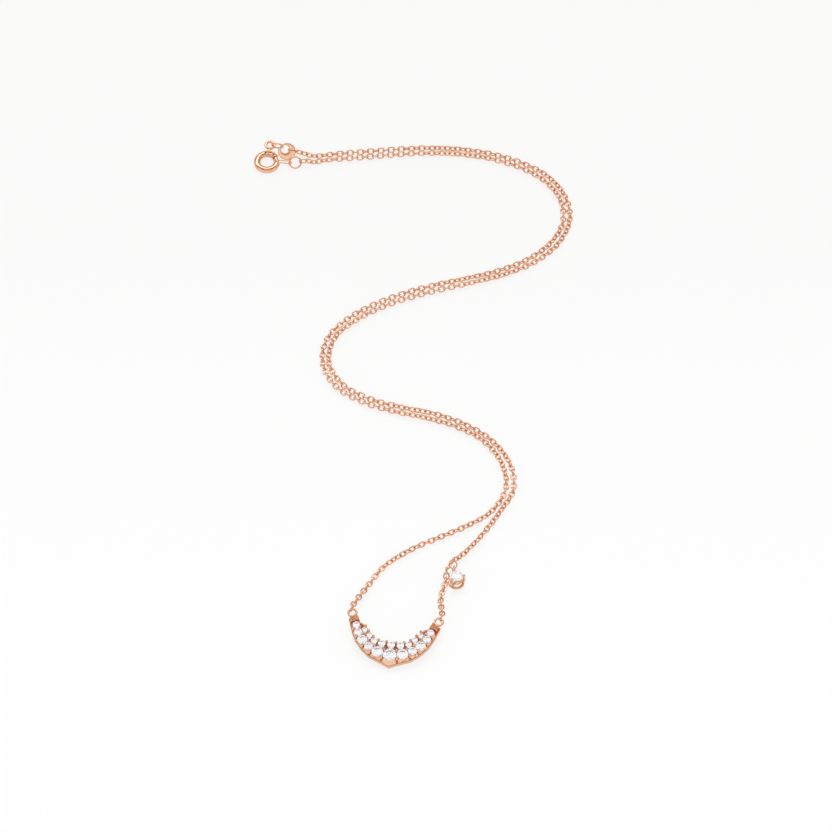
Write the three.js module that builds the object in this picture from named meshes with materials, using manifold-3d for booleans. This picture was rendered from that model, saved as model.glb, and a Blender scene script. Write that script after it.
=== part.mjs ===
// A rose-gold pendant necklace, laid out on a table in millimetres with +Z up.
// A crescent of round stones hangs by two end loops from a fine cable chain, a single-stone
// charm hangs from the right strand, and a spring-ring clasp closes the chain.
// The chain's long runs are plain tubes here; the links that other pieces hang on are real links.
import * as THREE from "three";
import Module from "manifold-3d";

const wasm = await Module();
wasm.setup();
const { Manifold, Mesh } = wasm;

// ---- Driving dimensions --------------------------------------------------------------------

const TILT = Math.PI / 180;

// The frame's origin lies on the table under the middle of the metalwork.
const FRAME = { x: -11.89, y: 5.32 };

// The chain's run over the table, and the oval links at its ends.
const CHAIN = { height: 0.62, tube: 0.9 };
const END_LINK = { wire: 0.3, length: 2.0, width: 1.34 };
const CLEAR = 0.06;

// Crescent pendant. Sizes run from the middle stone out to one end.
const MAIN_STONES = [2.6, 2.2, 1.7, 1.95, 1.55, 1.4];
const ACCENT_STONES = [1.5, 1.42, 1.24, 1.14, 1.0];
const CRESCENT = {
  x: -3.94,
  y: -49.78,
  yaw: -7.5 * TILT,
  lean: 8 * TILT,
  radius: 7.25,
  gap: 0.02,
  rowGap: 0.07,
  girdle: 1.9,
  clawTop: 2.22,
  clawWire: 0.32,
  plate: 0.9,
  point: 2.0,
  innerRim: 0.3,
  flare: 0.05,
};
// How far the plate's front corners stand out beyond the claws, from the middle outwards.
const FRONT_RIM = [0.66, 0.57, 0.42, 0.4, 0.4];
// The gallery wall that carries the stones: a strip on edge, whose front foot slopes out to
// just inside the plate's edge.
const WALL = { wide: 0.3, high: 1.54, setBack: 0.1, steps: 88 };
const END_LOOP = { wire: 0.46, outer: 1.96, reach: 3.1, height: 0.9, turn: 68.5 * TILT };
const END_BLOCK = { start: 0.98, long: 1.1, wide: 1.5, top: 1.75, bead: 0.5 };

// Single-stone charm.
const CHARM = {
  x: 7.62,
  y: -39.61,
  yaw: 8 * TILT,
  lean: 0,
  stone: 2.4,
  girdle: 2.55,
  base: { outer: 3.1, wire: 0.58 },
  claw: 0.42,
  clawTurn: -15 * TILT,
  seat: { outer: 2.38, wire: 0.3, z: 1.3 },
  bail: { outer: 1.5, wire: 0.34, y: 2.53, z: 1.08 },
  ring: { outer: 1.7, wire: 0.28, yaw: 20 * TILT, lean: 30 * TILT },
};

// Spring-ring clasp and the rings on both sides of it. The clasp's mouth runs from one angle
// round its ring to the other; the bolt closes it and slides back into the tube.
const CLASP = {
  x: -30.37,
  y: 64.2,
  lean: 4 * TILT,
  outer: 5.4,
  tube: 1.36,
  bore: 0.96,
  bolt: 0.84,
  mouth: [-14 * TILT, 34 * TILT],
  boltBack: 106 * TILT,
  travel: 44 * TILT,
  spring: { wire: 0.14, outer: 0.78, turns: 9, from: 154 * TILT, to: 222 * TILT },
  eyelet: { outer: 2.3, wire: 0.58, neck: 0.45, at: 83 * TILT },
  knob: { at: 52 * TILT, pin: 0.28, head: 0.56, slot: 0.42 },
};
// A plain round tag joins the clasp's eyelet to the chain. Its hole lies up and to the left of
// its middle. A jump ring joins the clasp's other side.
const TAG = {
  x: -26.35,
  y: 66.65,
  z: 1.25,
  lean: 26 * TILT,
  outer: 3.6,
  thick: 0.42,
  edge: 0.1,
  hole: { size: 1.7, x: -0.37, y: 0.5 },
};
const TAG_LINK = { wire: 0.3, length: 2.3, width: 1.34 };
const LOWER_RING = { x: -24.6, y: 63.95, z: 1.0, outer: 2.8, wire: 0.4, lean: 24 * TILT };
const EYELET_LINK = { wire: 0.3, width: 1.72 };
const CATCH_LINK = { wire: 0.26, width: 1.7, at: 6 * TILT };

// ---- Materials ------------------------------------------------------------------------------

const roseGold = new THREE.MeshStandardMaterial({ color: 0xd9a27e, roughness: 0.2, metalness: 1 });
const springSteel = new THREE.MeshStandardMaterial({
  color: 0xb9bcc2,
  roughness: 0.3,
  metalness: 1,
});
const whiteStone = new THREE.MeshStandardMaterial({
  color: 0xf4f7fb,
  roughness: 0.02,
  metalness: 0,
});

// ---- Shapes ---------------------------------------------------------------------------------

const vec = (x, y, z = 0) => new THREE.Vector3(x, y, z);

// A round wire swept along a path. A closed path gives a closed ring without ends.
function wire(path, thickness, steps, sides = 8) {
  const closed = path.closed === true;
  const frames = path.computeFrenetFrames(steps, closed);
  const rings = closed ? steps : steps + 1;
  const points = [];
  for (let i = 0; i < rings; i++) {
    const centre = path.getPointAt(i / steps);
    for (let j = 0; j < sides; j++) {
      const angle = (2 * Math.PI * j) / sides;
      points.push(
        centre
          .clone()
          .addScaledVector(frames.normals[i], (Math.cos(angle) * thickness) / 2)
          .addScaledVector(frames.binormals[i], (Math.sin(angle) * thickness) / 2),
      );
    }
  }
  const index = [];
  for (let i = 0; i < steps; i++) {
    const next = (i + 1) % rings;
    for (let j = 0; j < sides; j++) {
      const k = (j + 1) % sides;
      index.push(i * sides + j, i * sides + k, next * sides + j);
      index.push(next * sides + j, i * sides + k, next * sides + k);
    }
  }
  if (!closed) {
    const last = (rings - 1) * sides;
    for (let j = 1; j < sides - 1; j++) {
      index.push(0, j + 1, j);
      index.push(last, last + j, last + j + 1);
    }
  }
  return new THREE.BufferGeometry().setFromPoints(points).setIndex(index);
}

// A closed strip from its sections, each a ring of corners that turns with the way along it.
function closedStrip(sections) {
  const sides = sections[0].length;
  const index = [];
  sections.forEach((_, i) => {
    const next = (i + 1) % sections.length;
    for (let j = 0; j < sides; j++) {
      const k = (j + 1) % sides;
      index.push(i * sides + j, i * sides + k, next * sides + j);
      index.push(next * sides + j, i * sides + k, next * sides + k);
    }
  });
  return new THREE.BufferGeometry().setFromPoints(sections.flat()).setIndex(index);
}

// A smooth curve through hand-placed points.
const curve = (points, closed = false) =>
  new THREE.CatmullRomCurve3(points, closed, "catmullrom", 0.5);

// A round ring lying in the XY plane, measured over its outside.
const ring = (outer, thickness, sides = 8, steps = 28) =>
  new THREE.TorusGeometry((outer - thickness) / 2, thickness / 2, sides, steps);

// An oval link in the XY plane, long in X, measured over its outside: two round ends joined
// by straight sides.
function ovalLink({ length, width, wire: thickness }, sides = 6) {
  const bend = (width - thickness) / 2;
  const straight = (length - width) / 2;
  const points = [];
  for (const end of [1, -1]) {
    for (let i = 0; i <= 4; i++) {
      const angle = (Math.PI * (i - 2)) / 4;
      points.push(vec(end * (straight + bend * Math.cos(angle)), end * bend * Math.sin(angle)));
    }
  }
  return wire(curve(points, true), thickness, 20, sides);
}

// A round brilliant: flat table, sloping crown, thin girdle and a pointed pavilion.
// Its girdle lies in the XY plane.
function brilliant(diameter, sides = 16) {
  const r = diameter / 2;
  const profile = [
    [0, -0.86 * r],
    [0.97 * r, -0.03 * r],
    [r, 0.02 * r],
    [0.56 * r, 0.32 * r],
    [0, 0.32 * r],
  ];
  const lathe = new THREE.LatheGeometry(
    profile.map(([radius, height]) => new THREE.Vector2(radius, height)),
    sides,
  );
  return lathe.rotateX(Math.PI / 2);
}

const ball = (diameter, at) =>
  new THREE.OctahedronGeometry(diameter / 2, 1).translate(at.x, at.y, at.z);

// three.js geometry to a manifold solid and back, for joining and cutting.
function toSolid(geometry) {
  const source = geometry.index ? geometry.toNonIndexed() : geometry;
  const position = source.getAttribute("position");
  const mesh = new Mesh({
    numProp: 3,
    vertProperties: Float32Array.from(position.array),
    triVerts: Uint32Array.from({ length: position.count }, (_, i) => i),
  });
  mesh.merge();
  return new Manifold(mesh);
}

function toGeometry(solid) {
  const mesh = solid.getMesh();
  return new THREE.BufferGeometry()
    .setAttribute("position", new THREE.BufferAttribute(mesh.vertProperties, 3))
    .setIndex(new THREE.BufferAttribute(mesh.triVerts, 1));
}

const joined = (...shapes) => toGeometry(Manifold.union(shapes.map(toSolid)));

// ---- Assembly helpers -----------------------------------------------------------------------

const necklace = new THREE.Group();
necklace.name = "pendant_necklace";
necklace.position.set(-FRAME.x, -FRAME.y, 0);

function add(parent, name, geometry, material = roseGold) {
  geometry.computeVertexNormals();
  const mesh = new THREE.Mesh(geometry, material);
  mesh.name = name;
  parent.add(mesh);
  return mesh;
}

// A group that stands at a place, turned about the vertical and leaned towards the viewer.
function stand(x, y, z, yaw, lean) {
  const group = new THREE.Group();
  group.position.set(x, y, z);
  group.rotation.set(lean, 0, yaw, "ZYX");
  necklace.add(group);
  return group;
}

// Turns a shape that is long in X and flat in XY so it is long in along and flat across normal.
function orient(geometry, along, normal, at) {
  const x = along.clone().normalize();
  const z = normal.clone().addScaledVector(x, -normal.dot(x)).normalize();
  const y = z.clone().cross(x);
  const turn = new THREE.Matrix4().makeBasis(x, y, z).setPosition(at);
  return geometry.applyMatrix4(turn);
}

// ---- Crescent pendant -----------------------------------------------------------------------

// Angles of the main stones round the arc, from one end to the other; 0 is the middle stone.
const halfRow = [0];
for (let i = 1; i < MAIN_STONES.length; i++) {
  const step = (MAIN_STONES[i - 1] + MAIN_STONES[i]) / 2 + CRESCENT.gap;
  halfRow.push(halfRow[i - 1] + step / CRESCENT.radius);
}
const seats = [];
for (let i = 1 - MAIN_STONES.length; i < MAIN_STONES.length; i++) {
  const size = Math.abs(i);
  const accent = ACCENT_STONES[size];
  seats.push({
    angle: Math.sign(i) * halfRow[size],
    main: MAIN_STONES[size],
    accent,
    accentRadius:
      CRESCENT.radius - MAIN_STONES[size] / 2 - (accent ?? 0.8) / 2 - CRESCENT.rowGap,
  });
}

// The gaps between neighbouring stones, where the claws stand.
const notches = [];
for (let i = 1; i < seats.length; i++) {
  const [a, b] = [seats[i - 1], seats[i]];
  const radius = (a.main + b.main) / 4;
  const share = a.main / (a.main + b.main);
  notches.push({
    angle: a.angle + (b.angle - a.angle) * share,
    clear: Math.sqrt(2 * radius * CRESCENT.clawWire * 0.62) + 0.06,
    inner: (a.accentRadius + b.accentRadius) / 2 - 0.5,
    rim: FRONT_RIM[Math.min(Math.abs(i - 5), Math.abs(i - 6))],
  });
}

// A point of the pendant at an angle round the arc, a radius from its centre and a height.
const onArc = (angle, radius, height = 0) =>
  vec(radius * Math.sin(angle), -radius * Math.cos(angle), height);

const pendant = stand(CRESCENT.x, CRESCENT.y, 0, CRESCENT.yaw, CRESCENT.lean);
// The leaning pendant rests on the front point of its plate.
pendant.position.z = (CRESCENT.radius + CRESCENT.point) * Math.sin(CRESCENT.lean);

seats.forEach((seat, i) => {
  const number = String(i + 1).padStart(2, "0");
  const place = onArc(seat.angle, CRESCENT.radius, CRESCENT.girdle);
  add(pendant, `stone_${number}`, brilliant(seat.main).translate(...place), whiteStone);
  if (seat.accent) {
    const inner = onArc(seat.angle, seat.accentRadius, CRESCENT.girdle);
    const shape = brilliant(seat.accent, 12).translate(...inner);
    add(pendant, `accent_stone_${number}`, shape, whiteStone);
  }
});

// The plate under the stones: a crescent with a straight-sided, pointed front edge and a
// light hole behind each stone.
const endSeat = seats.at(-1);
const endAngle = endSeat.angle + (endSeat.main / 2 + 0.1) / CRESCENT.radius;
const endDirection = (side) => vec(side * Math.cos(END_LOOP.turn), Math.sin(END_LOOP.turn));
// A point beyond the end stone: out along the end's own direction and across it.
function beyondEnd(side, out, across, height) {
  const along = endDirection(side);
  return onArc(side * endSeat.angle, CRESCENT.radius, height)
    .addScaledVector(along, out)
    .addScaledVector(vec(along.y * side, -along.x * side), across);
}

// The corners of the plate's front edge: one at each claw, the middle point and the two ends.
const frontCorners = notches.map((notch) =>
  onArc(notch.angle, CRESCENT.radius + notch.clear + notch.rim),
);
frontCorners.splice(notches.length / 2, 0, onArc(0, CRESCENT.radius + CRESCENT.point));
frontCorners.unshift(beyondEnd(-1, 0.1, 1.05));
frontCorners.push(beyondEnd(1, 0.1, 1.05));

const plateEnd = END_BLOCK.start + END_BLOCK.long;
const outline = [...frontCorners, beyondEnd(1, plateEnd, 0.95)];
outline.push(beyondEnd(1, plateEnd, -0.95), beyondEnd(1, 0.1, -0.95));
for (let i = notches.length - 1; i >= 0; i--)
  outline.push(onArc(notches[i].angle, notches[i].inner - CRESCENT.innerRim));
outline.push(beyondEnd(-1, 0.1, -0.95), beyondEnd(-1, plateEnd, -0.95));
outline.push(beyondEnd(-1, plateEnd, 0.95));

const plateShape = new THREE.Shape(outline.map((p) => new THREE.Vector2(p.x, p.y)));
for (const seat of seats) {
  const hole = (radius, size) => {
    const at = onArc(seat.angle, radius);
    const path = new THREE.Path();
    path.absarc(at.x, at.y, size * 0.3, 0, 2 * Math.PI, true);
    plateShape.holes.push(path);
  };
  hole(CRESCENT.radius, seat.main);
  if (seat.accent) hole(seat.accentRadius, seat.accent);
}
add(
  pendant,
  "gallery_plate",
  new THREE.ExtrudeGeometry(plateShape, {
    depth: CRESCENT.plate,
    bevelEnabled: false,
    curveSegments: 5,
  }),
);

// The gallery wall under the stones: one closed strip on edge that weaves round both rows
// inside the claws, from the plate up to just under the girdles.
const inside = CRESCENT.clawWire / 2 + WALL.wide / 2 + 0.07;
const wallLine = [];
notches.forEach((notch, i) => {
  const seat = seats[i];
  const bulge = i === 0 ? 0.36 : 0.42;
  wallLine.push(onArc(seat.angle, CRESCENT.radius + seat.main * bulge));
  wallLine.push(onArc(notch.angle, CRESCENT.radius + notch.clear - inside));
});
wallLine.push(onArc(endSeat.angle, CRESCENT.radius + endSeat.main * 0.36));
wallLine.push(onArc(endAngle, CRESCENT.radius));
for (let i = seats.length - 1; i >= 0; i--) {
  const size = seats[i].accent ?? 0.6;
  wallLine.push(onArc(seats[i].angle, seats[i].accentRadius - size * 0.36));
  if (i > 0) wallLine.push(onArc(notches[i - 1].angle, notches[i - 1].inner + inside));
}
wallLine.push(onArc(-endAngle, CRESCENT.radius));
const wallCurve = curve(wallLine, true);

const angleOf = (point) => Math.atan2(point.x, -point.y);
// How far out the plate's front edge lies at an angle; it runs straight between its corners.
function frontEdge(angle) {
  const next = frontCorners.findIndex((corner) => angleOf(corner) > angle);
  if (next < 1) return 0;
  const [a, b] = [frontCorners[next - 1], frontCorners[next]];
  const fromA = a.length() * Math.sin(angle - angleOf(a));
  const toB = b.length() * Math.sin(angleOf(b) - angle);
  return (a.length() * b.length() * Math.sin(angleOf(b) - angleOf(a))) / (fromA + toB);
}

// The strip's four corners at a share of the way round: top inside, top outside and both feet.
function wallSection(share) {
  const at = wallCurve.getPointAt(share);
  const along = wallCurve.getTangentAt(share);
  const inward = vec(-along.y, along.x).multiplyScalar(WALL.wide / 2);
  const inner = at.clone().add(inward);
  const outer = at.clone().sub(inward);
  const front = THREE.MathUtils.clamp((outer.length() - CRESCENT.radius - 0.15) / 0.4, 0, 1);
  const spread = Math.max(0, frontEdge(angleOf(outer)) - WALL.setBack - outer.length());
  const foot = outer.clone().setLength(outer.length() + spread * front);
  const low = CRESCENT.plate + 0.03;
  return [
    inner.clone().setZ(WALL.high),
    outer.clone().setZ(WALL.high),
    foot.setZ(low),
    inner.clone().setZ(low),
  ];
}
const sections = [];
for (let i = 0; i < WALL.steps; i++) sections.push(wallSection(i / WALL.steps));

// Room for a claw at one angle: a box on end between two radii and two heights.
function clawRoom(angle, near, far, low, high) {
  const box = new THREE.BoxGeometry(CRESCENT.clawWire + 2 * CLEAR, far - near, high - low);
  const middle = onArc(angle, (near + far) / 2, (low + high) / 2);
  return toSolid(box.rotateZ(angle).translate(...middle));
}
const rooms = notches.flatMap(({ angle, inner, clear }) => {
  const leg = CRESCENT.radius + clear - CRESCENT.clawWire / 2 - CLEAR;
  const tunnelTop = CRESCENT.plate + CRESCENT.clawWire + 0.03 + CLEAR;
  return [
    clawRoom(angle, inner - 0.4, leg + 1, CRESCENT.plate - 0.1, tunnelTop),
    clawRoom(angle, leg, leg + 1, CRESCENT.plate, WALL.high + 0.5),
  ];
});
const wall = toSolid(closedStrip(sections)).subtract(Manifold.union(rooms));
add(pendant, "seat_rail", toGeometry(wall));

// Three-legged claws, one at each notch: an outer leg that splays down to the plate's rim,
// a middle leg between the two rows and an inner leg behind the small stones.
notches.forEach((notch, i) => {
  const foot = CRESCENT.plate + CRESCENT.clawWire / 2 + 0.03;
  const at = (radius, height) => onArc(notch.angle, radius, height);
  const outerTop = CRESCENT.radius + notch.clear;
  const outerFoot = outerTop + CRESCENT.flare;
  const middle = CRESCENT.radius - notch.clear;
  const bow = curve([
    at(outerTop - 0.04, CRESCENT.clawTop),
    at(outerTop + 0.12, (CRESCENT.clawTop + foot) / 2 + 0.3),
    at(outerFoot, foot + 0.3),
    at(outerFoot - 0.3, foot),
    at((outerFoot + notch.inner) / 2, foot),
    at(notch.inner + 0.25, foot),
    at(notch.inner, foot + 0.3),
    at(notch.inner, (CRESCENT.clawTop + foot) / 2 + 0.3),
    at(notch.inner + 0.04, CRESCENT.clawTop),
  ]);
  const post = curve([at(middle, foot), at(middle, CRESCENT.clawTop)]);
  const tip = CRESCENT.clawWire * 1.3;
  add(
    pendant,
    `claw_${String(i + 1).padStart(2, "0")}`,
    joined(
      wire(bow, CRESCENT.clawWire, 13, 5),
      wire(post, CRESCENT.clawWire, 1, 5),
      ball(tip, at(outerTop - 0.05, CRESCENT.clawTop)),
      ball(tip, at(middle + 0.03, CRESCENT.clawTop)),
      ball(tip, at(notch.inner + 0.05, CRESCENT.clawTop)),
    ),
  );
});

// At each end a small raised block holds the last stone with two corner claws, and a loop
// for the chain stands out from it.
const loopCentre = {};
for (const [side, label] of [
  [-1, "left"],
  [1, "right"],
]) {
  const along = endDirection(side);
  const up = vec(0, 0, 1);
  const foot = CRESCENT.plate + 0.03;
  const block = new THREE.BoxGeometry(END_BLOCK.long, END_BLOCK.wide, END_BLOCK.top - foot);
  const middle = beyondEnd(
    side,
    END_BLOCK.start + END_BLOCK.long / 2,
    0,
    (END_BLOCK.top + foot) / 2,
  );
  orient(block, along, up, middle);
  const corners = [-1, 1].map((across) =>
    ball(END_BLOCK.bead, beyondEnd(side, END_BLOCK.start + 0.1, across * 0.55, END_BLOCK.top + 0.1)),
  );
  add(pendant, `${label}_end_block`, joined(block, ...corners));

  const loop = ring(END_LOOP.outer, END_LOOP.wire, 8, 24);
  loopCentre[label] = beyondEnd(side, END_LOOP.reach, 0, END_LOOP.height);
  add(pendant, `${label}_end_loop`, loop.translate(...loopCentre[label]));
}

// ---- Charm ----------------------------------------------------------------------------------

const charm = stand(CHARM.x, CHARM.y, 0, CHARM.yaw, CHARM.lean);
const { base, seat } = CHARM;
add(charm, "charm_stone", brilliant(CHARM.stone, 20).translate(0, 0, CHARM.girdle), whiteStone);
const baseRing = ring(base.outer, base.wire, 10, 24).translate(0, 0, base.wire / 2);
add(charm, "charm_base_ring", baseRing);
add(charm, "charm_seat_ring", ring(seat.outer, seat.wire, 6, 20).translate(0, 0, seat.z));

// Three claws spread from one point under the stone, across the base ring and straight up.
const clawFoot = base.wire + CHARM.claw / 2 + 0.03;
const clawReach = CHARM.stone / 2 + CHARM.claw / 2 + 0.03;
const clawTop = CHARM.girdle + 0.3;
const clawParts = [];
for (let i = 0; i < 3; i++) {
  const turn = CHARM.clawTurn + (2 * Math.PI * i) / 3;
  const at = (across, height) =>
    vec(across * Math.cos(turn), across * Math.sin(turn), height);
  const leg = curve([
    at(-0.05, clawFoot),
    at(clawReach - 0.4, clawFoot),
    at(clawReach, clawFoot + 0.4),
    at(clawReach + 0.02, clawTop - 0.8),
    at(clawReach, clawTop),
  ]);
  clawParts.push(wire(leg, CHARM.claw, 10, 8), ball(0.5, at(clawReach, clawTop)));
}
add(charm, "charm_claws", joined(...clawParts));

// The bail is an upright loop behind the basket, in line with the stone.
const { bail } = CHARM;
const bailRing = ring(bail.outer, bail.wire, 8, 20).rotateY(Math.PI / 2);
add(charm, "charm_bail", bailRing.translate(0, bail.y, bail.z));

// ---- Tag, jump ring and the clasp's place ---------------------------------------------------

const tag = stand(TAG.x, TAG.y, TAG.z, 0, TAG.lean);
const disc = new THREE.Shape();
disc.absarc(0, 0, TAG.outer / 2 - TAG.edge, 0, 2 * Math.PI);
const tagHole = new THREE.Path();
tagHole.absarc(TAG.hole.x, TAG.hole.y, TAG.hole.size / 2 + TAG.edge, 0, 2 * Math.PI, true);
disc.holes.push(tagHole);
const tagBody = new THREE.ExtrudeGeometry(disc, {
  depth: TAG.thick - 2 * TAG.edge,
  bevelThickness: TAG.edge,
  bevelSize: TAG.edge,
  bevelSegments: 2,
  curveSegments: 16,
});
add(tag, "clasp_tag", tagBody.translate(0, 0, TAG.edge - TAG.thick / 2));

const lowerRing = stand(LOWER_RING.x, LOWER_RING.y, LOWER_RING.z, 0, LOWER_RING.lean);
add(lowerRing, "lower_jump_ring", ring(LOWER_RING.outer, LOWER_RING.wire, 8, 26));

const claspRadius = (CLASP.outer - CLASP.tube) / 2;
const clasp = stand(
  CLASP.x,
  CLASP.y,
  claspRadius * Math.sin(CLASP.lean) + CLASP.tube / 2,
  0,
  CLASP.lean,
);

necklace.updateMatrixWorld(true);
const placeOf = (group, point) => group.localToWorld(point.clone()).sub(necklace.position);

// A point on the middle of a ring's wire, at an angle round it.
function onRing(group, radius, angle, centre = vec(0, 0)) {
  const point = vec(radius * Math.cos(angle), radius * Math.sin(angle)).add(centre);
  return placeOf(group, point);
}
const ringRadius = (spec) => (spec.outer - spec.wire) / 2;

// ---- Chain ----------------------------------------------------------------------------------

// Both strands' routes over the table, from the clasp to the pendant, seen from above.
const upperRoute = [
  [-20.7, 65.95],
  [-17.2, 66.4],
  [-10.7, 67.1],
  [-4.3, 67.7],
  [2.2, 68.1],
  [8.7, 67.8],
  [15.0, 66.6],
  [21.1, 64.3],
  [26.5, 60.8],
  [30.1, 55.4],
  [31.0, 49.1],
  [28.7, 43.1],
  [24.2, 38.4],
  [18.6, 35.3],
  [12.5, 33.2],
  [6.2, 31.4],
  [0.1, 29.5],
  [-5.9, 27.0],
  [-11.4, 23.6],
  [-15.9, 19.0],
  [-17.1, 12.7],
  [-14.2, 7.1],
  [-8.8, 3.6],
  [-2.6, 1.6],
  [3.7, 0.0],
  [9.6, -2.6],
  [14.7, -6.5],
  [18.1, -12.0],
  [18.7, -18.0],
  [16.4, -22.8],
  [12.7, -28.6],
  [9.0, -33.2],
];
const lowerRoute = [
  [-20.8, 64.3],
  [-17.3, 65.0],
  [-10.9, 65.6],
  [-4.6, 66.3],
  [1.8, 66.7],
  [8.2, 66.5],
  [14.5, 65.4],
  [20.5, 63.2],
  [25.8, 59.6],
  [29.2, 54.3],
  [29.5, 48.0],
  [26.5, 42.4],
  [21.6, 38.3],
  [15.8, 35.6],
  [9.7, 33.8],
  [3.5, 32.1],
  [-2.5, 30.0],
  [-8.3, 27.2],
  [-13.5, 23.6],
  [-17.5, 18.6],
  [-18.3, 12.4],
  [-15.6, 6.7],
  [-10.4, 3.0],
  [-4.4, 0.7],
  [1.8, -0.9],
  [7.8, -3.1],
  [13.1, -6.6],
  [16.5, -11.9],
  [17.2, -18.0],
  [14.3, -23.4],
  [9.7, -26.7],
  [4.0, -29.6],
  [-1.2, -32.4],
  [-5.9, -36.0],
  [-8.9, -40.3],
];
const charmRoute = [
  [5.72, -38.6],
  [5.35, -40.6],
  [4.65, -43.4],
];
const onTable = (route) => route.map(([x, y]) => vec(x, y, CHAIN.height));

// An end link hooked round another ring's wire. It runs off along a direction, its flat turned
// to the given normal, and gives back the place where the strand starts behind it.
function hookLink(name, around, otherWire, along, normal, size = END_LINK) {
  const direction = along.clone().normalize();
  const reach = size.length / 2 - size.wire - otherWire / 2 - 0.05;
  const centre = around.clone().addScaledVector(direction, reach);
  add(necklace, name, orient(ovalLink(size), direction, normal, centre));
  return centre.addScaledVector(direction, size.length / 2 + CLEAR);
}

const strand = (name, points, steps) =>
  add(necklace, name, wire(curve(points), CHAIN.tube, steps, 8));

// The end links at the pendant stand upright round the far side of each end loop.
const hang = {};
for (const [side, label] of [
  [-1, "left"],
  [1, "right"],
]) {
  const farSide = endDirection(side).multiplyScalar(ringRadius(END_LOOP));
  hang[label] = placeOf(pendant, loopCentre[label].clone().add(farSide));
}
const leftStrandEnd = hookLink(
  "left_end_link",
  hang.left,
  END_LOOP.wire,
  vec(0.25, 0.96, -0.3),
  vec(0.97, -0.25, 0),
);
const rightStrandEnd = hookLink(
  "right_end_link",
  hang.right,
  END_LOOP.wire,
  vec(0.18, 0.98, -0.3),
  vec(0.98, -0.18, 0),
);

// The middle of the tag's margin beyond the hole in one direction, and the margin's breadth.
function tagMargin(angle) {
  const out = vec(Math.cos(angle), Math.sin(angle));
  const edge = vec(TAG.hole.x, TAG.hole.y).addScaledVector(out, TAG.hole.size / 2);
  const across = edge.dot(out);
  const breadth = Math.sqrt(across ** 2 - edge.lengthSq() + (TAG.outer / 2) ** 2) - across;
  return { middle: placeOf(tag, edge.addScaledVector(out, breadth / 2)), breadth };
}

// The end links at the clasp stand upright round the right side of the tag and the jump ring.
const tagRight = tagMargin(-12 * TILT);
const upperStrandStart = hookLink(
  "upper_strand_first_link",
  tagRight.middle,
  tagRight.breadth,
  vec(1, -0.18, -0.12),
  vec(0, 1, 0.3),
  TAG_LINK,
);
const lowerStrandStart = hookLink(
  "lower_strand_first_link",
  onRing(lowerRing, ringRadius(LOWER_RING), 12 * TILT),
  LOWER_RING.wire,
  vec(1, 0.12, -0.12),
  vec(0, 1, 0),
);

// The charm's jump ring leans back out of the bail and goes round the side of a chain link.
const insideBail = placeOf(charm, vec(0, bail.y + 0.22, bail.z));
const jumpRing = stand(0, 0, 0, CHARM.ring.yaw, CHARM.ring.lean);
const ringBack = vec(0, 1).applyEuler(jumpRing.rotation);
jumpRing.position.copy(insideBail).addScaledVector(ringBack, ringRadius(CHARM.ring));
jumpRing.updateMatrixWorld(true);
add(jumpRing, "charm_jump_ring", ring(CHARM.ring.outer, CHARM.ring.wire, 8, 22));

const strandAlong = vec(0.45, 0.89).normalize();
const linkAcross = ringBack.clone().cross(strandAlong).normalize();
const ringSide = placeOf(jumpRing, vec(-ringRadius(CHARM.ring), 0));
const linkSide = ringSide.clone().addScaledVector(linkAcross, -0.36);
const carrier = linkSide.clone().addScaledVector(linkAcross, (END_LINK.width - END_LINK.wire) / 2);
add(
  necklace,
  "charm_carrier_link",
  orient(ovalLink(END_LINK), strandAlong, ringBack, carrier),
);

const fromCarrier = (end) =>
  carrier.clone().addScaledVector(strandAlong, end * (END_LINK.length / 2 + CLEAR));
strand(
  "right_strand_upper",
  [upperStrandStart, ...onTable(upperRoute), fromCarrier(1)],
  40,
);
strand("right_strand_lower", [fromCarrier(-1), ...onTable(charmRoute), rightStrandEnd], 5);
strand("left_strand", [lowerStrandStart, ...onTable(lowerRoute), leftStrandEnd], 40);

// ---- Clasp ----------------------------------------------------------------------------------

// A bar bent round the clasp's middle between two angles.
function bentBar(thickness, from, to, steps, sides = 10) {
  const points = [];
  for (let i = 0; i <= steps; i++) {
    const angle = from + ((to - from) * i) / steps;
    points.push(vec(claspRadius * Math.cos(angle), claspRadius * Math.sin(angle)));
  }
  return wire(curve(points), thickness, steps, sides);
}

// The tube is bored from its mouth to behind the spring, and slotted on top for the knob.
const { mouth, knob, spring, eyelet } = CLASP;
const tube = toSolid(bentBar(CLASP.tube, mouth[1], mouth[0] + 2 * Math.PI, 26, 12));
const bore = toSolid(bentBar(CLASP.bore, mouth[1] - 5 * TILT, spring.to + 4 * TILT, 20, 10));
const slotMargin = (knob.slot / 2 + 0.08) / claspRadius;
const slot = toSolid(
  bentBar(knob.slot, knob.at - slotMargin, knob.at + CLASP.travel + slotMargin, 8, 8).translate(
    0,
    0,
    CLASP.tube / 2 - 0.12,
  ),
);
add(clasp, "clasp_tube", toGeometry(tube.subtract(bore).subtract(slot)));
add(clasp, "clasp_bolt", bentBar(CLASP.bolt, mouth[0] + 2 * TILT, CLASP.boltBack, 14, 10));

// The thumb knob: a pin on the bolt with a round head above the slot.
const knobPlace = (height) =>
  vec(claspRadius * Math.cos(knob.at), claspRadius * Math.sin(knob.at), height);
const pinFoot = CLASP.bolt / 2 + 0.01;
const headHeight = CLASP.tube / 2 + knob.head / 2 + 0.08;
const pin = wire(curve([knobPlace(pinFoot), knobPlace(headHeight)]), knob.pin, 1, 8);
add(clasp, "clasp_thumb_knob", joined(pin, ball(knob.head, knobPlace(headHeight))));

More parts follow.
